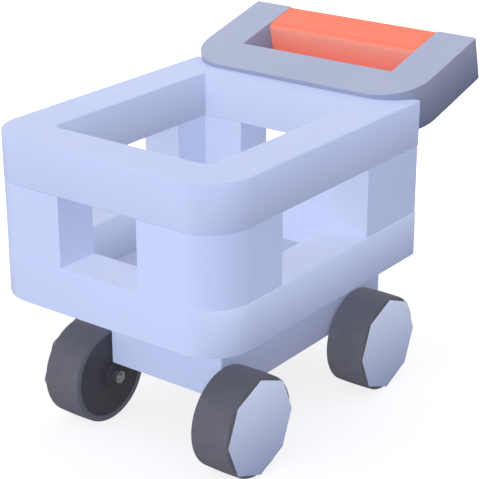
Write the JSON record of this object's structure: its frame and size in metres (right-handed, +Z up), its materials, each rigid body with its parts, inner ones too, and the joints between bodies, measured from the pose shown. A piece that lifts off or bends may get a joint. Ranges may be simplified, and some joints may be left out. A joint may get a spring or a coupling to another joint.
{
  "type": "shopping cart",
  "caption": "Compact shopping cart: chunky windowed sheet-steel basket on a box chassis, plain wheels with octagonal covers, and a tilted handle frame with a coral grip.",
  "frame": {"origin": "on the ground, under the middle of the cart's overall box", "axes": "+Z up, -Y the way the cart rolls, +Y towards the handle, +X the side seen on the right of the main view"},
  "size_m": [0.6, 0.9512, 0.7751],
  "materials": {
    "pale_coat": "satin pale periwinkle powder coat, a little darker towards the lower hems",
    "hub_coat": "satin pale periwinkle coat on the octagonal wheel covers",
    "floor_coat": "matt slate-blue coat, dusty",
    "slate_coat": "satin grey-blue powder coat on the handle frame, darker slate on its side faces",
    "dark_coat": "dark grey primer on the parts below the chassis",
    "coral_grip": "soft-touch coral moulding",
    "tyre_rubber": "dusty charcoal rubber",
    "wheel_core": "dark moulded plastic",
    "zinc_steel": "zinc-plated steel",
    "bronze": "sintered bronze bearing"
  },
  "bodies": {
    "cart": {"upper_rail": "pale_coat", "lower_rail": "pale_coat", "post_front_left": "pale_coat", "post_front_right": "pale_coat", "post_rear_left": "pale_coat", "post_rear_right": "pale_coat", "chassis_shell": "pale_coat", "outrigger_front_left": "pale_coat", "outrigger_front_right": "pale_coat", "outrigger_rear_left": "pale_coat", "outrigger_rear_right": "pale_coat", "floor_panel": "floor_coat", "chassis_pan": "dark_coat", "crossmember_front": "dark_coat", "crossmember_rear": "dark_coat", "hanger_front_left": "dark_coat", "hanger_front_right": "dark_coat", "hanger_rear_left": "dark_coat", "hanger_rear_right": "dark_coat", "axle_front_left": "zinc_steel", "axle_front_right": "zinc_steel", "axle_rear_left": "zinc_steel", "axle_rear_right": "zinc_steel", "axle_nuts": "zinc_steel", "axle_end_nuts": "zinc_steel", "hanger_bolts": "zinc_steel", "hanger_nuts": "zinc_steel", "outrigger_bolts": "zinc_steel", "outrigger_nuts": "zinc_steel", "basket_bolts": "zinc_steel", "basket_nuts": "zinc_steel", "stay_bolts": "zinc_steel", "stay_nuts": "zinc_steel", "grip_rod": "zinc_steel", "handle_frame": "slate_coat", "stay_left": "slate_coat", "stay_right": "slate_coat", "grip_sleeve": "coral_grip"},
    "wheel_front_left": {"tyre_front_left": "tyre_rubber", "core_front_left": "wheel_core", "bush_front_left": "bronze", "hub_plate_front_left": "hub_coat"},
    "wheel_front_right": {"tyre_front_right": "tyre_rubber", "core_front_right": "wheel_core", "bush_front_right": "bronze", "hub_plate_front_right": "hub_coat"},
    "wheel_rear_left": {"tyre_rear_left": "tyre_rubber", "core_rear_left": "wheel_core", "bush_rear_left": "bronze", "hub_plate_rear_left": "hub_coat"},
    "wheel_rear_right": {"tyre_rear_right": "tyre_rubber", "core_rear_right": "wheel_core", "bush_rear_right": "bronze", "hub_plate_rear_right": "hub_coat"}
  },
  "joints": [
    {"name": "front_left_spin", "type": "hinge", "parent": "cart", "child": "wheel_front_left", "pos_m": [0.2, -0.2806, 0.11], "axis": [1, 0, 0], "continuous": true},
    {"name": "front_right_spin", "type": "hinge", "parent": "cart", "child": "wheel_front_right", "pos_m": [-0.2, -0.2806, 0.11], "axis": [1, 0, 0], "continuous": true},
    {"name": "rear_left_spin", "type": "hinge", "parent": "cart", "child": "wheel_rear_left", "pos_m": [0.2, 0.2054, 0.11], "axis": [1, 0, 0], "continuous": true},
    {"name": "rear_right_spin", "type": "hinge", "parent": "cart", "child": "wheel_rear_right", "pos_m": [-0.2, 0.2054, 0.11], "axis": [1, 0, 0], "continuous": true}
  ]
}
